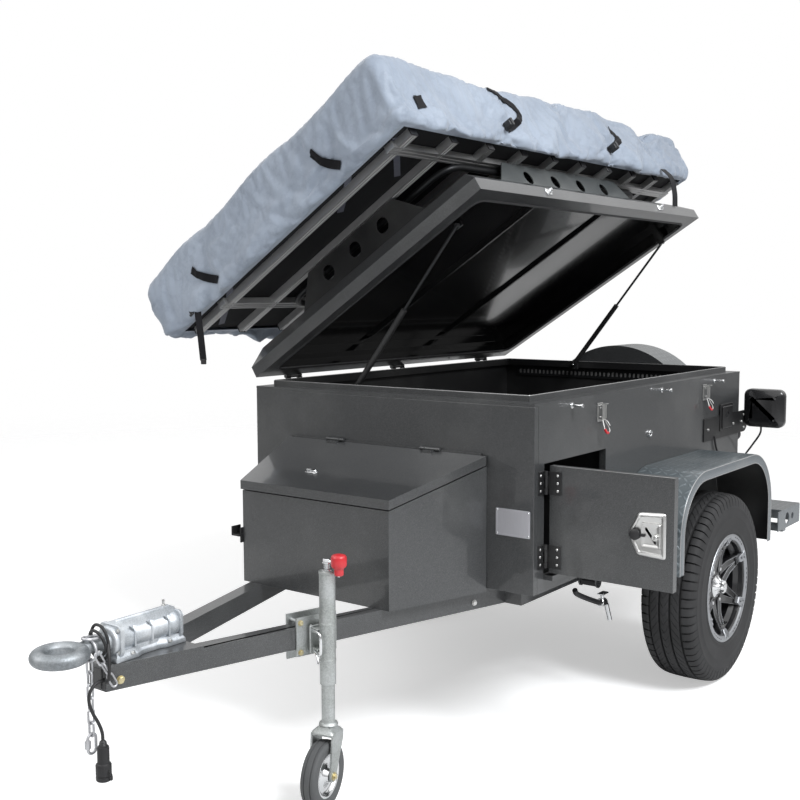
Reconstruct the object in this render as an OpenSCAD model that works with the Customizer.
// Off-road box camper trailer with a folded roof tent on its lid.
// +Z is up, -Y is the towing end and +X is the trailer's left side.
// Measures are taken from the centre plane, the front wall's outer face and the ground,
// and place() then carries every piece so that the whole stands centred over the origin.

/* [Box] */
// Width over the side walls
box_w = 1220; // [1000:10:1500]
// Length over the end walls
box_l = 1800; // [1600:10:2400]
// Height of the walls from bottom edge to top flange
box_h = 621; // [560:1:800]
// Height of the box's bottom edge above the ground
box_z = 538; // [520:1:650]
// Thickness of the walls
wall = 25; // [15:1:32]
// Thickness of the floor and the inner panels
panel_t = 12; // [6:1:20]
// Distance from the wall's face to the rain lip round the opening
lip_inset = 50; // [40:1:80]
// Height of the rain lip over the top flange
lip_h = 20; // [10:1:40]

/* [Side door] */
// Width of the door
door_w = 425; // [300:5:470]
// Height of the door
door_h = 351; // [250:1:400]
// Thickness of the door
door_t = 27; // [20:1:40]
// Distance from the front wall's face to the door's hinge line
door_y = 61; // [56:1:110]
// Height of the door's lower edge above the box's bottom edge
door_up = 67; // [50:1:120]

/* [Lid] */
// Width of the lid, across from its hinge
lid_w = 1206; // [900:2:1400]
// Height of the lid's upright side
lid_side = 45; // [30:1:60]
// Height of the lid over all
lid_h = 100; // [80:1:140]
// Width of the sloping edge round the lid's top
lid_slope = 50; // [30:1:80]
// Gap between the rain lip and the closed lid
lid_gap = 6; // [6:1:15]
// Angle the lid stands open
lid_open = 32.7; // [20:0.1:40]

/* [Roof tent] */
// Width of the packed tent, in the lid's width direction
tent_w = 1340; // [1000:10:1500]
// Length of the packed tent
tent_l = 2280; // [1800:10:2600]
// Thickness of the packed tent in its cover
tent_h = 250; // [180:5:350]
// Height of the brackets that carry the tent over the lid
bracket_h = 135; // [110:5:200]
// Radius of the packed tent's long edges
tent_r = 100; // [40:5:110]

/* [Toolbox] */
// Width of the toolbox at its front
chest_front_w = 630; // [500:10:800]
// Width of the toolbox at the box's front wall
chest_rear_w = 866; // [820:2:1100]
// Length of the toolbox
chest_l = 373; // [250:1:450]
// Height of the toolbox's front edge, without its lid
chest_front_h = 315; // [200:5:400]
// Slope of the toolbox lid
chest_slope = 15.5; // [5:0.5:20]
// Thickness of the toolbox lid
chest_lid_t = 35; // [25:1:50]

/* [Drawbar and chassis] */
// Height of the ground clearance under the drawbar
beam_z = 461; // [400:1:520]
// Height of a beam
beam_h = 65; // [50:1:75]
// Width of a beam
beam_w = 50; // [40:1:80]
// Angle of each drawbar beam to the centre plane
beam_angle = 16.3; // [12:0.1:20]
// Distance from the front wall to the drawbar's nose
nose_y = 1235; // [1100:5:1400]
// Distance from the front wall to the middle of the tow ring
ring_y = 1350; // [1330:5:1450]
// Bore of the tow ring
ring_bore = 76; // [60:1:90]
// Thickness of the tow ring's bar
ring_bar = 40; // [30:1:50]

/* [Wheels] */
// Outer diameter of the tyres
tyre_d = 733.6; // [640:0.4:780]
// Width of the tyres
tyre_w = 215; // [175:5:235]
// Diameter of the rims over their lips
rim_d = 424; // [380:2:470]
// Distance from the front wall to the axle
axle_y = 1093; // [950:1:1200]
// Distance between the outer faces of the tyres
track_over = 1696; // [1680:2:1760]

/* [Mudguards] */
// Width of a mudguard over the box's side wall
guard_w = 235; // [225:1:260]
// Length of a mudguard
guard_l = 950; // [900:10:1000]
// Height of a mudguard's top above the ground
guard_top = 860; // [840:5:900]
// Radius of a mudguard's upper corners
guard_r = 230; // [150:5:280]

/* [Jockey wheel] */
// Diameter of the jockey wheel
jockey_d = 200; // [180:2:220]
// Width of the jockey wheel
jockey_w = 50; // [40:1:60]
// Distance the jockey wheel trails its stem
jockey_trail = 40; // [30:1:50]
// Outer diameter of the mast tube
mast_d = 48; // [42:1:52]
// Distance of the mast's axis from the beam's outer face
mast_out = 66; // [50:1:70]
// Distance from the front wall to the mast
mast_y = 626; // [560:1:700]
// Angle the jockey wheel's axle is turned to the left side
castor_turn = 13; // [-30:1:30]

/* [Hidden] */
$fn = 48;

sheet = 3;                                  // pressed sheet metal
clear = 5;                                  // gap between pieces that move past each other
seat = 0.3;                                 // gap between a soft solid and what it lies on
eps = 1;                                    // overrun of a cut through a face

box_top = box_z + box_h;                    // top flange above the ground
beam_top = beam_z + beam_h;
lip_top = box_top + lip_h;

// Roof lid: a frame of its own, across x from its right edge, along y and out z
lid_hinge_r = 8;
lid_hinge_in = 10;                          // hinge line to the lid's edge
lid_x = -box_w / 2 - lid_hinge_r - 1;       // hinge line
lid_z = lip_top + lid_gap;
lid_hinges = [box_l * 0.12, box_l / 2, box_l * 0.88];
lid_knuckle = 40;
lid_knuckle_end = 24;
lid_pin_r = 4;
tent_base_h = lid_h + bracket_h;            // tent frame's lowest level over the lid's underside
rib_h = 27;                                 // tent frame's ribs
board_h = 28;                               // tent's base board
tent_mid_x = lid_w / 2 - 53;                // the packed tent sits a little towards the hinge
tent_mid_y = box_l / 2 + 10;
board_w = tent_w - 120;
board_l = tent_l - 120;
skirt = 40;                                 // depth the cover hangs down round the board
cover_z = tent_base_h + rib_h + board_h - skirt;

// Struts, measured from the trailer's own zero
strut_foot_x = -180;
strut_foot_z = lip_top - 14;
strut_eye_across = 1030;                    // eye's place across the lid
strut_eye_in = 14;                          // eye's place below the lid's underside
strut_y = lip_inset + 22;
strut_eye_from = lid_hinge_in + strut_eye_across;
strut_eye_x = lid_x + strut_eye_from * cos(lid_open) + strut_eye_in * sin(lid_open);
strut_eye_z = lid_z + strut_eye_from * sin(lid_open) - strut_eye_in * cos(lid_open);
strut_len = norm([strut_eye_x - strut_foot_x, strut_eye_z - strut_foot_z]);
strut_turn = atan2(strut_eye_z - strut_foot_z, strut_eye_x - strut_foot_x);
strut_shut_len = norm([lid_x + strut_eye_from - strut_foot_x, lid_z - strut_eye_in - strut_foot_z]);
strut_tube_d = 22;
strut_rod_d = 10;
strut_tube_l = strut_len / 2;
strut_fit = 0.05;                           // rod's running gap in the tube
strut_pin_r = 3;

// Wheels
wheel_x = (track_over - tyre_w) / 2;
wheel_z = tyre_d / 2;
spare_gap = 30;                             // spare tyre to the rear wall
spare_z = 860;
spare_y = box_l + spare_gap + tyre_w / 2;
cover_gap = 30;                             // round the spare tyre inside its cover

// Rear steps
step_in = 430;
step_out = 820;
step_l = 230;
step_h = 85;
step_top = 556;

// Drawbar beam's outer face, as a distance from the centre plane at a place along the trailer
beam_root_x = 395;
beam_end_y = 120;                           // the beams meet the chassis under the box
function beam_face(y) = beam_root_x + tan(beam_angle) * y;

// Side door, hinged on a line outside the wall
hinge_d = 14;
hinge_pin_r = 3;
hinge_fit = 0.05;
door_x = box_w / 2 + 2 + hinge_d / 2;       // hinge line
door_in = 8;                                // hinge line to the door's edge
door_z = box_z + door_up;
hinge_z = [door_z + 55, door_z + door_h - 55];

// Toolbox
chest_z = beam_top;
chest_gap = 2;                              // toolbox to the front wall
chest_wall = 6;
chest_rear_h = chest_front_h + chest_l * tan(chest_slope);
chest_shadow = 6;                           // gap under the lid's edge
chest_lid_over = 5;
chest_back = 4;                             // upstand behind the lid
chest_hinge_d = 12;

// Jockey wheel
mast_x = beam_face(-mast_y) + mast_out / cos(beam_angle);
mast_pivot_z = 490;
mast_low = 362;
mast_top = 702;
stem_d = 40;
fork_top = 238;
jockey_z = jockey_d / 2;

// Tow ring
ring_z = 584;
neck_r = 17;                                // neck between the ring and the draw shaft
ring_flat = 1.5;                            // depth the bore cuts into the round bar
ring_r = (ring_bore + ring_bar) / 2 - ring_flat;

// The whole stands centred over the origin
reach_left = door_x + door_in + door_w;
tent_edge_across = lid_hinge_in + tent_mid_x - tent_w / 2 + tent_r;
tent_edge_out = cover_z + tent_h - tent_r;
reach_right = -(lid_x + tent_edge_across * cos(lid_open) - tent_edge_out * sin(lid_open) - tent_r);
reach_front = ring_y + ring_r + ring_bar / 2;
reach_rear = max(spare_y + tyre_w / 2, tent_mid_y + tent_l / 2, box_l + step_l);
shift_x = (reach_right - reach_left) / 2;
shift_y = (reach_front - reach_rear) / 2;

module place() translate([shift_x, shift_y, 0]) children();
module on_lid() place() translate([lid_x, 0, lid_z]) rotate([0, -lid_open, 0]) translate([lid_hinge_in, 0, 0])
    children();
module along_x(r, l) rotate([0, 90, 0]) cylinder(r = r, h = l, center = true);
module along_y(r, l) rotate([90, 0, 0]) cylinder(r = r, h = l, center = true);
module block(lo, hi) translate(lo) cube(hi - lo);
// Copies a left-hand piece to the right-hand side
module both_sides() {
    children();
    mirror([1, 0, 0]) children();
}

// ---- Chassis ----
rail_x = 470;                               // centre of a chassis rail
rail_w = 50;
cross_y = [beam_end_y + rail_w / 2, 640, 1240, box_l - rail_w / 2];

module chassis_frame() color("dimgray") place() {
    both_sides() block([rail_x - rail_w / 2, beam_end_y, beam_z], [rail_x + rail_w / 2, box_l, beam_top]);
    for (y = cross_y)
        block([-rail_x, y - rail_w / 2, beam_z], [rail_x, y + rail_w / 2, beam_top]);
    // packing strips that the box stands on
    for (y = cross_y)
        block([-box_w / 2 + wall, y - 20, beam_top - eps], [box_w / 2 - wall, y + 20, box_z]);
    // spring hangers
    both_sides() for (y = spring_ends)
        difference() {
            union() {
                block([spring_x - 38, y - 22, spring_eye_z], [spring_x + 38, y + 22, beam_z + eps]);
                translate([spring_x, y, spring_eye_z]) along_x(22, 76);
            }
            block([spring_x - 32, y - 30, spring_eye_z - 40], [spring_x + 32, y + 30, beam_z - 6]);
        }
    both_sides() for (y = spring_ends) translate([spring_x, y, spring_eye_z]) along_x(spring_pin, 66);
}

// ---- Drawbar ----
module beam_plan() {
    inner = beam_w / cos(beam_angle);
    polygon([
        [max(beam_face(-nose_y) - inner, 0), -nose_y],
        [beam_face(-nose_y), -nose_y],
        [beam_face(beam_end_y), beam_end_y],
        [beam_face(beam_end_y) - inner, beam_end_y],
        [0, -(beam_root_x - inner) / tan(beam_angle)]
    ]);
}
module drawbar() color("dimgray") place() {
    both_sides() translate([0, 0, beam_z]) linear_extrude(beam_h) beam_plan();
    // plate across the top of the nose, which the coupling is bolted to
    translate([0, 0, beam_top - eps]) linear_extrude(eps + coupling_foot)
        polygon([
            [-beam_face(-nose_y), -nose_y], [beam_face(-nose_y), -nose_y],
            [beam_face(-coupling_rear), -coupling_rear], [-beam_face(-coupling_rear), -coupling_rear]
        ]);
}

// ---- Coupling ----
coupling_foot = 5;
coupling_front = 1205;
coupling_rear = 960;
coupling_w = 88;
coupling_top = 632;
shaft_d = 56;
bolt_step = 130;
bolt_y = -(coupling_front + coupling_rear) / 2;

module coupling() color("silver") place() difference() {
    union() {
        // foot, bolted to the nose plate
        block([-coupling_w / 2, -coupling_front, beam_top + coupling_foot],
              [coupling_w / 2, -coupling_rear, beam_top + coupling_foot + 14]);
        // housing of the draw shaft
        translate([0, bolt_y, ring_z]) along_y(36, coupling_front - coupling_rear);
        block([-27, -coupling_front + 14, ring_z], [27, -coupling_rear - 12, coupling_top]);
        // front collar
        translate([0, -coupling_front + 10, ring_z]) along_y(41, 22);
    }
    for (sx = [-1, 1], sy = [-1, 1])
        translate([sx * (coupling_w / 2 - 6), bolt_y + sy * bolt_step / 2, beam_top]) cylinder(d = 9, h = 40);
    translate([0, -coupling_front, ring_z]) along_y(shaft_d / 2 + seat, 160);
}

module tow_ring() color("silver") place() {
    translate([0, -ring_y, ring_z]) rotate_extrude() intersection() {
        translate([ring_r, 0]) circle(d = ring_bar);
        translate([ring_bore / 2, -ring_bar]) square(ring_bar * 2);
    }
    // neck and draw shaft
    neck_y = ring_y - ring_r;
    translate([0, -(neck_y + coupling_front - 60) / 2, ring_z]) along_y(neck_r, neck_y - coupling_front + 60);
    translate([0, -coupling_front - 14 + 47, ring_z]) along_y(shaft_d / 2, 94);
}

// ---- Safety chain: from a bolt on the nose's side to a loop round the ring's neck, and down from there ----
link_in = 34;                               // inner length of a link, and so the chain's pitch
link_w = 24;
link_bar = 6;
link_gap = 0.2;
loop_r = 26;                                // inner radius of the loop on the neck
loop_bar = 8;
loop_y = -(ring_y - ring_r - ring_bar / 2 - 14);
loop_z = ring_z + neck_r - loop_r + link_gap;
chain_links = 6;
chain_bolt = [56, -(nose_y - 13), 482];     // where the short stretch is bolted
chain_side = [30, loop_y, loop_z - 3];      // where it meets the loop
shackle_in = 46;
shackle_w = 34;
shackle_bar = 8;

// A link along z: two straight bars closed by half rings
module link(inner, w, bar) {
    straight = inner - w + 2 * bar;
    for (s = [-1, 1]) {
        translate([s * (w - bar) / 2, 0, 0]) cylinder(d = bar, h = straight, center = true);
        translate([0, 0, s * straight / 2]) rotate([90, 0, 0]) intersection() {
            rotate_extrude() translate([(w - bar) / 2, 0]) circle(d = bar);
            translate([0, s * w / 2, 0]) cube([w + 1, w, bar + 1], center = true);
        }
    }
}
// Turns z to point from one place to another
module between(from, to) {
    d = to - from;
    translate(from) rotate([0, acos(d[2] / norm(d)), atan2(d[1], d[0])]) children();
}
module safety_chain() color("lightgray") place() {
    pitch = link_in + link_gap;
    first_z = loop_z - loop_r - link_in / 2 - link_gap;
    translate([0, loop_y, loop_z]) rotate([90, 0, 0]) rotate_extrude() translate([loop_r + loop_bar / 2, 0])
        circle(d = loop_bar);
    for (i = [0 : chain_links - 1])
        translate([0, loop_y, first_z - i * pitch]) rotate([0, 0, 90 * ((i + 1) % 2)])
            link(link_in, link_w, link_bar);
    translate([0, loop_y, first_z - (chain_links - 0.5) * pitch - shackle_in / 2]) rotate([0, 0, 90])
        link(shackle_in, shackle_w, shackle_bar);
    // short stretch from the bolt up to the loop
    short_l = norm(chain_side - chain_bolt);
    between(chain_bolt, chain_side) for (i = [0 : 2])
        translate([0, 0, short_l * (i + 0.5) / 3]) rotate([0, 0, 30 + 90 * (i % 2)])
            link(short_l / 3 - link_gap, link_w - 2, link_bar - 1);
}

// ---- Trailer cable and its plug ----
cable_d = 9;
plug_top = 336;
plug_low = 226;
CABLE = [
    [24, -1235.2, 492], [24, -1246, 492], [24, -1264, 487], [24, -1278, 473], [24, -1283, 454], [26, -1281, 434],
    [29, -1274, 412], [32, -1264, 391], [34, -1256, 371], [34, -1251, 353], [34, -1250, 336.4]
];
plug_d = 42;
function unit(v) = v / norm(v);
// A ring of points square to the route, its first side kept towards the trailer's left
function ring_at(route, i, r, sides) = let (
    a = route[max(i - 1, 0)],
    b = route[min(i + 1, len(route) - 1)],
    t = unit(b - a),
    s = unit(cross(t, [0.3, 1, 0.05])),
    w = cross(t, s)
) [for (k = [0 : sides - 1]) route[i] + r * (cos(360 * k / sides) * s + sin(360 * k / sides) * w)];
module swept(route, d, sides = 10) {
    n = len(route);
    points = [for (i = [0 : n - 1]) each ring_at(route, i, d / 2, sides)];
    skin = [for (i = [0 : n - 2], k = [0 : sides - 1]) let (m = (k + 1) % sides)
        [i * sides + k, i * sides + m, (i + 1) * sides + m, (i + 1) * sides + k]];
    ends = [[for (k = [sides - 1 : -1 : 0]) k], [for (k = [0 : sides - 1]) (n - 1) * sides + k]];
    polyhedron(points, concat(skin, ends));
}
module trailer_cable() color("black") place() swept(CABLE, cable_d);
module cable_plug() color("black") place() translate([CABLE[10][0], CABLE[10][1], plug_low]) {
    cylinder(d = plug_d, h = 46);
    translate([0, 0, 46]) cylinder(d1 = plug_d, d2 = plug_d - 10, h = 12);
    translate([0, 0, 58]) cylinder(d = plug_d - 10, h = 34);
    translate([0, 0, 92]) cylinder(d1 = 24, d2 = 14, h = plug_top - plug_low - 92);
}

// ---- Axle and springs ----
spring_x = rail_x;
spring_ends = [axle_y - 430, axle_y + 430];
spring_eye_z = 428;
spring_pin = 7;
axle_bar = 50;
axle_top = wheel_z + axle_bar / 2;
spring_h = 26;                              // pack of leaves over the axle
stub_d = 40;
drum_d = 250;
axle_half = wheel_x - 95;

module axle() color("dimgray") place() translate([0, axle_y, wheel_z]) {
    cube([2 * axle_half, axle_bar, axle_bar], center = true);
    both_sides() {
        // brake backplate and stub
        translate([axle_half + 4, 0, 0]) along_x(drum_d / 2 + 4, 8);
        translate([axle_half + 50, 0, 0]) along_x(stub_d / 2, 86);
    }
}
// A leaf runs from eye to eye, resting on the axle: a shallow arch turned upside down
module leaf_springs() color("dimgray") place() both_sides() {
    span = spring_ends[1] - spring_ends[0];
    rise = spring_eye_z - axle_top - spring_h / 2;
    r = (span * span / 4 + rise * rise) / (2 * rise);
    mid_z = axle_top + spring_h / 2;
    translate([spring_x, axle_y, 0]) {
        // leaves, each shorter than the one above it
        for (i = [0 : 3])
            intersection() {
                translate([0, 0, mid_z + r]) rotate([0, 90, 0])
                    difference() {
                        cylinder(r = r + 13 - 6.5 * (3 - i) , h = 60, center = true, $fn = 200);
                        cylinder(r = r + 13 - 6.5 * (3 - i) - 6.6, h = 62, center = true, $fn = 200);
                    }
                translate([0, 0, mid_z])
                    cube([60, span - 160 * i - 20, 200], center = true);
            }
        for (s = [-1, 1]) translate([0, s * span / 2, spring_eye_z]) difference() {
            along_x(18, 60);
            along_x(spring_pin + 0.1, 62);
        }
    }
    // shock absorber from the axle to the rail
    translate([spring_x - 75, axle_y + 60, 0]) {
        translate([0, 0, 350]) cylinder(d = 46, h = 60);
        translate([0, 0, 410 - eps]) cylinder(d = 18, h = 52);
        block([-14, axle_bar / 2 - 60, axle_top - 32], [14, -20, axle_top - 16]);
    }
}

// ---- Mudguards ----
guard_low_front = 508;
guard_low_rear = 470;
guard_lip = 36;
guard_front = axle_y - guard_l / 2;
guard_rear = axle_y + guard_l / 2;
guard_hole = 50;

// Arch with round upper corners, drawn lengthways, shrunk by an inset
module arch(inset) {
    lo = guard_front + inset;
    hi = guard_rear - inset;
    top = guard_top - inset;
    r = guard_r - inset;
    intersection() {
        union() {
            translate([lo, guard_low_rear]) square([hi - lo, top - r - guard_low_rear]);
            translate([lo + r, guard_low_rear]) square([hi - lo - 2 * r, top - guard_low_rear]);
            for (y = [lo + r, hi - r]) translate([y, top - r]) circle(r = r, $fn = 96);
        }
        translate([lo, guard_low_rear]) square([hi - lo, top - guard_low_rear]);
    }
}
// Turns a lengthways drawing upright, given thickness towards the trailer's left
module upright(t) rotate([90, 0, 90]) linear_extrude(t) children();
module mudguard() difference() {
    translate([box_w / 2, 0, 0]) union() {
        upright(guard_w) difference() {
            arch(0);
            arch(sheet);
            translate([guard_front + sheet, guard_low_rear - eps]) square([guard_l - 2 * sheet, 60]);
        }
        translate([guard_w - sheet, 0, 0]) upright(sheet) difference() {
            arch(0);
            arch(guard_lip);
            translate([guard_front + guard_lip, guard_low_rear - eps]) square([guard_l - 2 * guard_lip, 60]);
        }
        // turned-in foot at the front, with a round hole for a hose
        block([0, guard_front, guard_low_front], [guard_w, guard_front + guard_lip, guard_low_front + sheet]);
    }
    block([0, guard_front - eps, guard_low_rear - eps],
          [box_w, guard_front + guard_lip + eps, guard_low_front]);
    translate([box_w / 2 + guard_w / 2, guard_front, guard_low_front + 70]) along_y(guard_hole / 2, 20);
}
module mudguard_left() color("dimgray") place() mudguard();
module mudguard_right() color("dimgray") place() mirror([1, 0, 0]) mudguard();

// ---- Box ----
wall_top = box_top - 10;
module box_floor() color("#303234") place()
    block([-box_w / 2 + wall, wall, box_z], [box_w / 2 - wall, box_l - wall, box_z + panel_t]);
module front_wall() color("dimgray") place() block([-box_w / 2, 0, box_z], [box_w / 2, wall, wall_top]);
module rear_wall() color("dimgray") place()
    block([-box_w / 2, box_l - wall, box_z], [box_w / 2, box_l, wall_top]);
module side_wall() block([box_w / 2 - wall, wall, box_z], [box_w / 2, box_l - wall, wall_top]);
module left_wall() color("dimgray") place() {
    from = door_y + door_in - clear;
    to = door_y + door_in + door_w + clear;
    difference() {
        side_wall();
        block([box_w / 2 - wall - eps, from, door_z - clear], [box_w / 2 + eps, to, door_z + door_h + clear]);
    }
    // sill under the doorway
    block([box_w / 2 - eps, from, door_z - 24], [box_w / 2 + 34, to, door_z - clear - 3]);
    // fixed halves of the door's hinges
    for (z = hinge_z) {
        block([box_w / 2, wall, z - 38], [box_w / 2 + 3, door_y - hinge_d / 2, z + 38]);
        for (s = [-1, 1]) translate([door_x, door_y, z + s * 29]) cylinder(d = hinge_d, h = 18, center = true);
        for (s = [-1, 1]) block([box_w / 2 - eps, door_y - hinge_d / 2 - eps, z + s * 29 - 9],
                                [door_x, door_y, z + s * 29 + 9]);
        translate([door_x, door_y, z]) cylinder(r = hinge_pin_r, h = 76, center = true);
    }
}
module right_wall() color("dimgray") place() {
    mirror([1, 0, 0]) side_wall();
    // fixed halves of the lid's hinges
    for (y = lid_hinges) {
        block([-box_w / 2 - 4, y - 46, wall_top - 70], [-box_w / 2 + eps, y + 46, wall_top]);
        block([-box_w / 2 - 4, y - 46, wall_top - eps], [-box_w / 2, y + 46, lid_z - lid_hinge_r - clear]);
        for (s = [-1, 1]) {
            knuckle_y = y + s * (lid_knuckle / 2 + seat + lid_knuckle_end / 2);
            translate([lid_x, knuckle_y, lid_z]) along_y(lid_hinge_r, lid_knuckle_end);
            block([lid_x, knuckle_y - lid_knuckle_end / 2, lid_z - lid_hinge_r - clear - eps],
                  [-box_w / 2, knuckle_y + lid_knuckle_end / 2, lid_z - 5]);
        }
        translate([lid_x, y, lid_z]) along_y(lid_pin_r, lid_knuckle + 2 * lid_knuckle_end);
    }
}
module top_flange() color("dimgray") place() {
    in = lip_inset;
    difference() {
        block([-box_w / 2, 0, wall_top], [box_w / 2, box_l, box_top]);
        block([-box_w / 2 + in, in, wall_top - eps], [box_w / 2 - in, box_l - in, box_top + eps]);
    }
    difference() {
        block([-box_w / 2 + in - sheet, in - sheet, wall_top], [box_w / 2 - in + sheet, box_l - in + sheet, lip_top]);
        block([-box_w / 2 + in, in, wall_top - eps], [box_w / 2 - in, box_l - in, lip_top + eps]);
    }
    // brackets for the strut feet, inside the lip
    for (y = [strut_y, box_l - strut_y]) {
        inner = y < box_l / 2 ? lip_inset : box_l - lip_inset;
        side = y < box_l / 2 ? 1 : -1;
        bracket = strut_y - lip_inset - strut_tube_d / 2 - seat;
        translate([strut_foot_x, inner + side * (bracket / 2 - 1), strut_foot_z - 10])
            cube([26, bracket + 2, 26], center = true);
        translate([strut_foot_x, inner + side * (bracket + 10), strut_foot_z]) along_y(strut_pin_r, 22);
    }
}
locker_l = 520;                             // front locker, from the front wall's face
locker_top = box_z + door_up + door_h + 14;
module front_locker() color("#303234") place() {
    inner = box_w / 2 - wall;
    block([-inner, locker_l, box_z + panel_t], [inner, locker_l + panel_t, locker_top]);
    block([-inner, wall, locker_top], [inner, locker_l + panel_t, locker_top + panel_t]);
}

// ---- Side door, standing open square to the wall ----
module side_door() color("dimgray") place() difference() {
    union() {
        block([door_x + door_in, door_y + door_x - box_w / 2, door_z],
              [door_x + door_in + door_w, door_y + door_x - box_w / 2 + door_t, door_z + door_h]);
        for (z = hinge_z) {
            translate([door_x, door_y, z]) cylinder(d = hinge_d, h = 38, center = true);
            block([door_x, door_y + hinge_d / 2 - 3, z - 19], [door_x + door_in + 3, door_y + hinge_d / 2, z + 19]);
            block([door_x + door_in, door_y + hinge_d / 2 - 3, z - 38],
                  [door_x + 52, door_y + door_x - box_w / 2 + eps, z + 38]);
        }
    }
    for (z = hinge_z) translate([door_x, door_y, z]) cylinder(r = hinge_pin_r + hinge_fit, h = 40, center = true);
}

// ---- Toolbox ----
// Plan of the toolbox at a given inset from its outer faces
module chest_plan(inset) polygon([
    [-chest_front_w / 2 + inset, -chest_gap - chest_l + inset],
    [chest_front_w / 2 - inset, -chest_gap - chest_l + inset],
    [chest_rear_w / 2 - inset, -chest_gap - inset],
    [-chest_rear_w / 2 + inset, -chest_gap - inset]
]);
// Everything above the sloping top, raised square to the slope
module above_chest(raise) translate([0, -chest_gap - chest_l, chest_z + chest_front_h]) rotate([chest_slope, 0, 0])
    translate([-chest_rear_w, -chest_l, raise]) cube([2 * chest_rear_w, 3 * chest_l, 600]);
chest_hinge_y = -chest_gap - chest_back - 3;
chest_hinge_z = chest_z + chest_front_h + (chest_l - chest_back) * tan(chest_slope)
    + chest_lid_t / cos(chest_slope) + chest_hinge_d / 2;
chest_hinges = [-chest_front_w / 3, chest_front_w / 3];
module chest_hinge(d, l, x) translate([x, chest_hinge_y, chest_hinge_z]) along_x(d / 2, l);
module toolbox() color("dimgray") place() {
    difference() {
        translate([0, 0, chest_z]) linear_extrude(chest_rear_h) chest_plan(0);
        translate([0, 0, chest_z + chest_wall]) linear_extrude(chest_rear_h) chest_plan(chest_wall);
        above_chest(0);
    }
    // upstand behind the lid, with the outer knuckles and the pins
    difference() {
        block([-chest_rear_w / 2 + 20, -chest_gap - chest_back, chest_z + chest_front_h],
              [chest_rear_w / 2 - 20, -chest_gap, chest_hinge_z]);
        for (x = chest_hinges) block([x - 20.5, -chest_gap - chest_back - eps, chest_hinge_z - chest_hinge_d / 2 - 10],
                                     [x + 20.5, -chest_gap + eps, chest_hinge_z + eps]);
    }
    for (x = chest_hinges) {
        for (s = [-1, 1]) chest_hinge(chest_hinge_d, 20, x + s * 31);
        chest_hinge(2 * hinge_pin_r, 80, x);
    }
}
module toolbox_lid() color("dimgray") place() {
    difference() {
        intersection() {
            translate([0, 0, chest_z]) linear_extrude(chest_rear_h + 100) chest_plan(-chest_lid_over);
            above_chest(chest_shadow);
        }
        above_chest(chest_lid_t);
        // hollow underside
        difference() {
            translate([0, 0, chest_z]) linear_extrude(chest_rear_h + 100) chest_plan(chest_wall);
            above_chest(chest_lid_t - chest_wall);
        }
        // clear of the upstand
        block([-box_w, -chest_gap - chest_back - 2, chest_z], [box_w, 100, box_top + 200]);
    }
    // middle knuckles
    for (x = chest_hinges) difference() {
        union() {
            chest_hinge(chest_hinge_d, 40, x);
            block([x - 20, chest_hinge_y - 22, chest_hinge_z - chest_hinge_d / 2 - 9],
                  [x + 20, chest_hinge_y, chest_hinge_z - chest_hinge_d / 2 + 2]);
        }
        chest_hinge(2 * (hinge_pin_r + hinge_fit), 44, x);
    }
}

// ---- Tail lamps and rear steps ----
lamp_z = 995;
lamp_w = 180;
lamp_h = 170;
lamp_d = 62;
lamp_arm_z = 934;
lamp_arm_h = 96;
lamp_y = box_l + 55;
module lamp_brackets() color("#303234") place() both_sides() difference() {
    union() {
        block([box_w / 2, box_l - 410, lamp_arm_z - lamp_arm_h / 2],
              [box_w / 2 + 5, lamp_y - 5, lamp_arm_z + lamp_arm_h / 2]);
        translate([box_w / 2 + 2.5, lamp_y - 5, lamp_arm_z]) along_x(lamp_arm_h / 2, 5);
    }
    for (a = [0 : 90 : 270])
        translate([box_w / 2, lamp_y - 5 + 28 * cos(a), lamp_arm_z + 28 * sin(a)]) along_x(4.5, 20);
}
module tail_lamps() color("#202020") place() both_sides()
    translate([box_w / 2 + 5 + seat, lamp_y - 30, lamp_z - lamp_h / 2]) {
        translate([0, 0, 20]) cube([lamp_w - 20, lamp_d - 14, lamp_h - 40]);
        translate([0, 14, 0]) cube([lamp_w, lamp_d - 14, lamp_h]);
    }

module rear_steps() color("dimgray") place() both_sides() difference() {
    union() {
        block([step_in, box_l + eps, step_top - sheet], [step_out, box_l + step_l, step_top]);
        for (x = [step_in, step_out - 5])
            block([x, box_l - 60, step_top - step_h], [x + 5, box_l + step_l, step_top]);
        block([step_in, box_l + step_l - 5, step_top - step_h], [step_out, box_l + step_l, step_top]);
        // bearer from the chassis
        block([step_in, box_l, beam_z], [step_out, box_l + 40, beam_z + 30]);
    }
    for (place_r = [[60, 26], [130, 15]])
        translate([step_out, box_l + place_r[0], step_top - step_h / 2]) along_x(place_r[1], 30);
    block([rail_x + rail_w / 2 + 30, box_l - 100, 0], [step_out - 10, box_l, step_top + eps]);
    block([step_in - eps, box_l - 100, 0], [step_in + 20, box_l, step_top + eps]);
}

// ---- Spare wheel in its drum cover ----
hub_d = 90;
bolt_circle = 139.7;
module wheel_bolts(d, l) for (a = [0 : 60 : 300]) rotate([0, 0, a]) translate([bolt_circle / 2, 0, 0]) cylinder(d = d, h = l);
// A tyre round the z axis, its outer shoulders rounded
module tyre_solid() rotate_extrude($fn = 96) difference() {
    r = 28;
    union() {
        translate([rim_d / 2 - 26, -tyre_w / 2 + 12]) square([tyre_d / 2 - rim_d / 2 + 26 - r, tyre_w - 24]);
        translate([rim_d / 2 + 10, -tyre_w / 2]) square([tyre_d / 2 - rim_d / 2 - 10 - r, tyre_w]);
        translate([tyre_d / 2 - r - eps, -tyre_w / 2 + r]) square([r + eps, tyre_w - 2 * r]);
        for (s = [-1, 1]) translate([tyre_d / 2 - r, s * (tyre_w / 2 - r)]) circle(r = r);
    }
    translate([0, -tyre_w]) square([rim_d / 2 - 26, 2 * tyre_w]);
}
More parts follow.
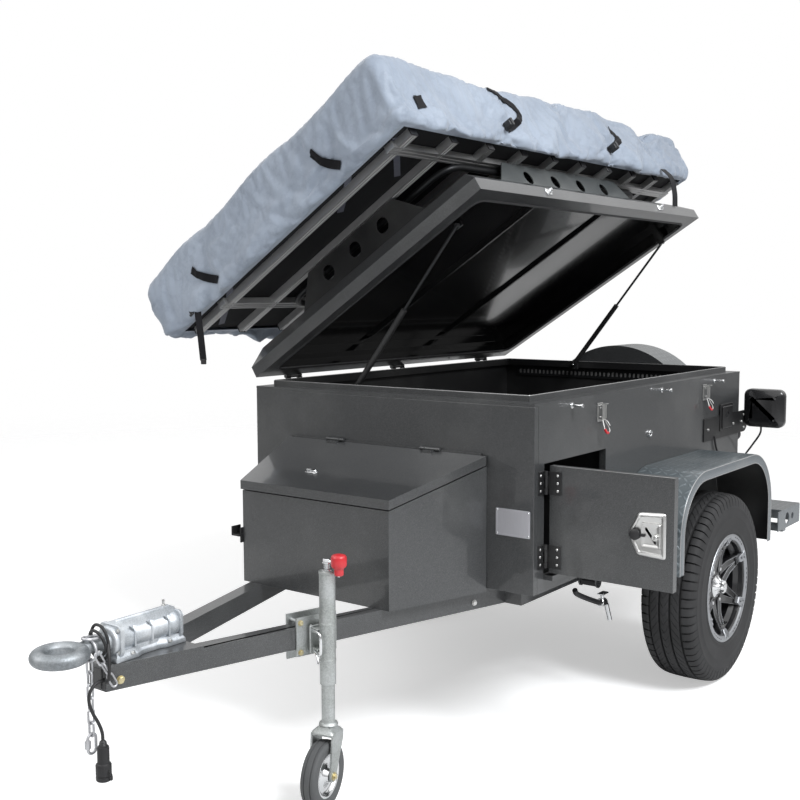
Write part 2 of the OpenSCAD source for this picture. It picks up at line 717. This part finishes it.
// An alloy rim round the z axis, its face up: barrel, lips, six spokes and the hub
module rim_solid() difference() {
    bed_r = rim_d / 2 - 26 - seat;
    union() {
        rotate_extrude($fn = 96) {
            translate([bed_r - 12, -tyre_w / 2 + 2]) square([12, tyre_w - 4]);
            for (s = [-1, 1]) translate([bed_r - 12, s * (tyre_w / 2 - 4) - 4]) square([38, 8]);
        }
        // disc behind the spokes
        translate([0, 0, 20]) cylinder(r = 92, h = 34);
        for (a = [0 : 60 : 300]) rotate([0, 0, a]) translate([60, -24, 28]) cube([bed_r - 66, 48, 34]);
        translate([0, 0, 20]) cylinder(d = hub_d, h = 70);
    }
    translate([0, 0, 20 - eps]) wheel_bolts(16, 40);
    translate([0, 0, 20 - eps]) cylinder(d = stub_d + 0.1, h = 44);
}
module spare_place() place() translate([0, spare_y, spare_z]) rotate([-90, 0, 0]) children();
module spare_tyre() color("#262626") spare_place() tyre_solid();
module spare_rim() color("#303234") spare_place() rim_solid();
module spare_cover() color("dimgray") {
    r = tyre_d / 2 + cover_gap;
    spare_place() {
        difference() {
            translate([0, 0, -tyre_w / 2 - 6 - sheet]) cylinder(r = r, h = tyre_w + 6 + sheet, $fn = 96);
            translate([0, 0, -tyre_w / 2 - 6]) cylinder(r = r - sheet, h = tyre_w + 20, $fn = 96);
        }
        // carrier between the rear wall and the wheel's hub
        translate([0, 0, -tyre_w / 2 - spare_gap]) cylinder(r = 80, h = spare_gap - 6);
        translate([0, 0, -tyre_w / 2 - 7]) cylinder(r = 70, h = tyre_w / 2 + 27 - seat);
        translate([0, 0, -tyre_w / 2 - 7]) cylinder(d = stub_d, h = tyre_w / 2 + 60);
    }
}

// ---- Lid ----
lid_return = 60;                            // width of the flange turned in round the underside
lid_inner = lid_h - 12;
module lid_outer(inset) {
    // upright sides, then the sloping edge as four cut planes
    difference() {
        block([inset, inset, inset > 0 ? -eps : 0], [lid_w - inset, box_l - inset, lid_h - inset]);
        rise = lid_h - lid_side;
        slope = atan2(rise, lid_slope);
        for (q = [[0, 0, 0, box_l], [lid_w, box_l, 180, box_l], [lid_w, 0, 90, lid_w], [0, box_l, 270, lid_w]])
            translate([q[0], q[1], lid_side - inset * 0.4]) rotate([0, 0, q[2]])
                translate([inset, -eps, 0]) rotate([0, -slope, 0])
                    translate([-300, 0, 0]) cube([600, q[3] + 2 * eps, 300]);
    }
}
module lid_panel() color("dimgray") on_lid() {
    difference() {
        lid_outer(0);
        block([lid_return, lid_return, -eps], [lid_w - lid_return, box_l - lid_return, 7]);
        block([30, 30, 6], [lid_w - 30, box_l - 30, lid_side + 5]);
        block([lid_slope + 20, lid_slope + 20, lid_side], [lid_w - lid_slope - 20, box_l - lid_slope - 20, lid_inner]);
    }
    // lid's halves of the hinges
    for (y = lid_hinges) difference() {
        union() {
            translate([-lid_hinge_in, y, 0]) along_y(lid_hinge_r, lid_knuckle);
            block([-lid_hinge_in, y - lid_knuckle / 2, 0], [eps, y + lid_knuckle / 2, lid_hinge_r]);
            block([-4, y - lid_knuckle / 2, 0], [eps, y + lid_knuckle / 2, 34]);
        }
        translate([-lid_hinge_in, y, 0]) along_y(lid_pin_r + hinge_fit, lid_knuckle + 2);
    }
    // lugs for the struts' eyes
    for (y = [strut_y, box_l - strut_y]) {
        side = y < box_l / 2 ? 1 : -1;
        lug = y + side * (8 + 0.5 + 3);
        block([strut_eye_across - 14, lug - 3, -strut_eye_in - 8], [strut_eye_across + 14, lug + 3, lid_inner + eps]);
    }
}

// ---- Roof tent ----
bracket_t = 4;
bracket_foot = 50;                          // flange that lies on the lid
bracket_slope = 120;                        // each end leans in by this over the plate's height
hole_drop = 55;                             // hole's centre below the plate's top
bracket_long = 1140;
bracket_wide = 710;
side_hole_d = 56;
// Upright plate with a sloping outline and round holes, drawn lengthways and centred
module bracket_plate(l, l_top, holes, step) rotate([90, 0, 90]) translate([0, 0, -bracket_t / 2])
    linear_extrude(bracket_t) difference() {
        polygon([[-l / 2, 0], [l / 2, 0], [l_top / 2, bracket_h], [-l_top / 2, bracket_h]]);
        for (i = [0 : holes - 1])
            translate([(i - (holes - 1) / 2) * step, bracket_h - hole_drop]) circle(d = side_hole_d);
    }
bracket_x = [110, lid_w - 106];             // right and left plates, across the lid
bracket_y = [100, box_l - 100];             // front and rear plates, along it
module tent_brackets() color("dimgray") on_lid() translate([0, 0, lid_h]) {
    for (x = bracket_x) {
        translate([x, box_l / 2 + 20, 0]) bracket_plate(bracket_long, bracket_long - 2 * bracket_slope, 4, 205);
        translate([x - bracket_foot / 2, box_l / 2 + 20 - bracket_long / 2, 0]) cube([bracket_foot, bracket_long, bracket_t]);
    }
    for (y = bracket_y) {
        translate([lid_w / 2, y, 0]) rotate([0, 0, 90]) bracket_plate(bracket_wide, bracket_wide - 2 * bracket_slope, 3, 150);
        translate([lid_w / 2 - bracket_wide / 2, y - bracket_foot / 2, 0]) cube([bracket_wide, bracket_foot, bracket_t]);
    }
}
hoop_d = 25;
hoop_r = 90;
hoop_lo = [170, 170];                       // corners of the bent tube's middle line
hoop_hi = [lid_w - 150, box_l - 130];
rib_w = 36;
rib_count = 10;
rib_end = 45;                               // outermost rib's middle, in from the board's edge
// Ribs run across the tent and rest on the brackets; a bent tube runs round below them
module tent_frame() color("silver") on_lid() translate([0, 0, tent_base_h]) {
    for (i = [0 : rib_count - 1]) {
        y = tent_mid_y + (i / (rib_count - 1) - 0.5) * (board_l - 2 * rib_end);
        block([tent_mid_x - board_w / 2 + 6, y - rib_w / 2, 0], [tent_mid_x + board_w / 2 - 6, y + rib_w / 2, rib_h]);
    }
    for (x = [bracket_x[0] + 30, bracket_x[1] - 30])
        block([x - rib_w / 2, tent_mid_y - board_l / 2 + 10, 0], [x + rib_w / 2, tent_mid_y + board_l / 2 - 10, rib_h]);
    mid = (hoop_lo + hoop_hi) / 2;
    span = hoop_hi - hoop_lo;
    translate([mid[0], mid[1], -hoop_d / 2 + 0.5]) {
        for (s = [-1, 1]) {
            translate([s * span[0] / 2, 0, 0]) along_y(hoop_d / 2, span[1] - 2 * hoop_r);
            translate([0, s * span[1] / 2, 0]) along_x(hoop_d / 2, span[0] - 2 * hoop_r);
        }
        for (q = [[1, 1, 0], [-1, 1, 90], [-1, -1, 180], [1, -1, 270]])
            translate([q[0] * (span[0] / 2 - hoop_r), q[1] * (span[1] / 2 - hoop_r), 0]) rotate([0, 0, q[2]])
                rotate_extrude(angle = 90) translate([hoop_r, 0]) circle(d = hoop_d);
    }
}
module tent_base() color("#202020") on_lid()
    block([tent_mid_x - board_w / 2, tent_mid_y - board_l / 2, tent_base_h + rib_h],
          [tent_mid_x + board_w / 2, tent_mid_y + board_l / 2, tent_base_h + rib_h + board_h]);
// Outline of the packed tent across the lid, its upper long edges rounded
module tent_outline() {
    translate([-tent_w / 2, 0]) square([tent_w, tent_h - tent_r]);
    translate([-tent_w / 2 + tent_r, 0]) square([tent_w - 2 * tent_r, tent_h]);
    for (s = [-1, 1]) translate([s * (tent_w / 2 - tent_r), tent_h - tent_r]) circle(r = tent_r);
}
module tent_cover() color("slategray") on_lid() translate([tent_mid_x, tent_mid_y, cover_z]) difference() {
    rotate([90, 0, 0]) linear_extrude(tent_l, center = true) tent_outline();
    block([-board_w / 2 - seat, -board_l / 2 - seat, -eps], [board_w / 2 + seat, board_l / 2 + seat, skirt + seat]);
}

// ---- Gas struts: tube hinged on the box, rod's eye at the lid ----
eye_d = 14;
module strut_line(y) place() translate([strut_foot_x, y, strut_foot_z]) rotate([0, -strut_turn, 0]) rotate([0, 90, 0])
    children();
module strut_tube() {
    difference() {
        translate([0, 0, 14]) cylinder(d = strut_tube_d, h = strut_tube_l - 14);
        translate([0, 0, strut_tube_l - strut_bore]) cylinder(d = strut_rod_d + 2 * strut_fit, h = strut_bore + eps);
    }
    difference() {
        union() {
            along_y(eye_d / 2, 16);
            cylinder(d = 8, h = 16);
        }
        along_y(strut_pin_r + strut_fit, 30);
    }
}
strut_bore = strut_tube_l - 40;
strut_in = strut_bore - (strut_len - strut_shut_len) - 20;
module strut_rod() {
    translate([0, 0, strut_tube_l - strut_in]) cylinder(d = strut_rod_d, h = strut_len - strut_tube_l + strut_in - 6);
    translate([0, 0, strut_len]) along_y(eye_d / 2, 16);
}
module front_strut_tube() color("#181818") strut_line(strut_y) strut_tube();
module rear_strut_tube() color("#181818") strut_line(box_l - strut_y) strut_tube();
module front_strut_rod() color("#303030") strut_line(strut_y) strut_rod();
module rear_strut_rod() color("#303030") strut_line(box_l - strut_y) strut_rod();

// ---- Road wheels ----
module wheel_place(side) place() translate([side * wheel_x, axle_y, wheel_z]) rotate([0, side * 90, 0]) children();
module drum() difference() {
    translate([0, 0, -60]) cylinder(d = drum_d, h = 80);
    translate([0, 0, -60 - eps]) cylinder(d = stub_d + 0.1, h = 100);
}
module tyre_left() color("#262626") wheel_place(1) tyre_solid();
module tyre_right() color("#262626") wheel_place(-1) tyre_solid();
module rim_left() color("#303234") wheel_place(1) { rim_solid(); drum(); }
module rim_right() color("#303234") wheel_place(-1) { rim_solid(); drum(); }

// ---- Jockey wheel ----
// At the mast's foot, with x square to the drawbar beam and y along it to the rear
module at_mast() place() translate([mast_x, -mast_y, 0]) rotate([0, 0, -beam_angle]) children();
bracket_half = 70;
module jockey_bracket() color("lightgray") at_mast() {
    plate = 6;
    face = -mast_out;
    back = face - beam_w;
    block([face, -bracket_half, beam_z - 22], [face + plate, bracket_half, beam_top + 30]);
    block([back - plate, -bracket_half, beam_z - 42], [back, bracket_half, beam_top + 30]);
    for (y = [-bracket_half + 14, bracket_half - 14], z = [beam_z - 10, beam_top + 14])
        translate([(face + back) / 2, y, z]) along_x(5, beam_w + 2 * plate + 8);
    // pivot boss
    translate([face + plate + 5, 0, mast_pivot_z]) along_x(24, 10);
}
module jockey_mast() color("lightgray") at_mast() {
    saddle_x = -mast_out + 16 + seat;
    difference() {
        union() {
            translate([0, 0, mast_low]) cylinder(d = mast_d, h = mast_top - mast_low);
            block([saddle_x, -34, mast_pivot_z - 42], [saddle_x + 8, 34, mast_pivot_z + 42]);
            for (z = [-30, 30]) block([saddle_x, -20, mast_pivot_z + z - 6], [0, 20, mast_pivot_z + z + 6]);
        }
        translate([0, 0, mast_low - eps]) cylinder(d = stem_d + 0.1, h = mast_top - mast_low - 20);
    }
    // screw head and crank with its knob
    translate([0, 0, mast_top - eps]) cylinder(d = 30, h = 34);
    translate([22, -16, mast_top + 20]) rotate([0, 0, -36]) along_x(5, 44);
    translate([40, -29, mast_top + 14]) cylinder(d = 30, h = 44);
}
module jockey_stem() color("lightgray") at_mast() {
    translate([0, 0, fork_top]) cylinder(d = stem_d, h = mast_top - 150 - fork_top);
}
module at_castor() place() translate([mast_x, -mast_y, 0]) rotate([0, 0, castor_turn]) children();
module jockey_fork() color("lightgray") at_castor() {
    half = jockey_w / 2 + 6;
    translate([0, 0, fork_top - 22]) cylinder(d = stem_d + 10, h = 22 - seat);
    difference() {
        union() {
            for (s = [-1, 1]) {
                translate([s * (half + 3), 0, 0]) rotate([90, 0, 90]) translate([0, 0, -3]) linear_extrude(6)
                    polygon([[-jockey_trail - 18, jockey_z], [-jockey_trail + 14, jockey_z - 6],
                             [24, fork_top - 40], [24, fork_top - 16], [-42, fork_top - 16], [-46, fork_top - 44]]);
                translate([s * (half + 3), -jockey_trail, jockey_z]) along_x(18, 6);
            }
            block([-half - 6, -42, fork_top - 22], [half + 6, 24, fork_top - 16]);
        }
        translate([0, -jockey_trail, jockey_z]) along_x(6.05, 100);
    }
}
module at_jockey_axle() at_castor() translate([0, -jockey_trail, jockey_z]) rotate([0, 90, 0]) children();
jockey_rim_r = 66;
module jockey_tyre() color("gray") at_jockey_axle() rotate_extrude($fn = 96) {
    r = 12;
    translate([jockey_rim_r, -jockey_w / 2 + 4]) square([jockey_d / 2 - jockey_rim_r - r, jockey_w - 8]);
    translate([jockey_d / 2 - r - eps, -jockey_w / 2 + r]) square([r + eps, jockey_w - 2 * r]);
    for (s = [-1, 1]) translate([jockey_d / 2 - r, s * (jockey_w / 2 - r)]) circle(r = r);
}
module jockey_rim() color("silver") at_jockey_axle() {
    difference() {
        union() {
            cylinder(r = jockey_rim_r, h = 34, center = true);
            cylinder(r = 20, h = jockey_w + 8, center = true);
        }
        for (s = [-1, 1]) translate([0, 0, s * 17]) difference() {
            cylinder(r = jockey_rim_r - 8, h = 20, center = true);
            cylinder(r = 22, h = 22, center = true);
        }
    }
    cylinder(r = 6, h = jockey_w + 40, center = true);
}

chassis_frame();
drawbar();
coupling();
tow_ring();
safety_chain();
trailer_cable();
cable_plug();
jockey_bracket();
axle();
leaf_springs();
mudguard_left();
mudguard_right();
box_floor();
front_wall();
rear_wall();
left_wall();
right_wall();
top_flange();
front_locker();
toolbox();
lamp_brackets();
tail_lamps();
rear_steps();
spare_cover();
spare_tyre();
spare_rim();
side_door();
toolbox_lid();
lid_panel();
tent_brackets();
tent_frame();
tent_base();
tent_cover();
front_strut_tube();
front_strut_rod();
rear_strut_tube();
rear_strut_rod();
tyre_left();
rim_left();
tyre_right();
rim_right();
jockey_mast();
jockey_stem();
jockey_fork();
jockey_tyre();
jockey_rim();
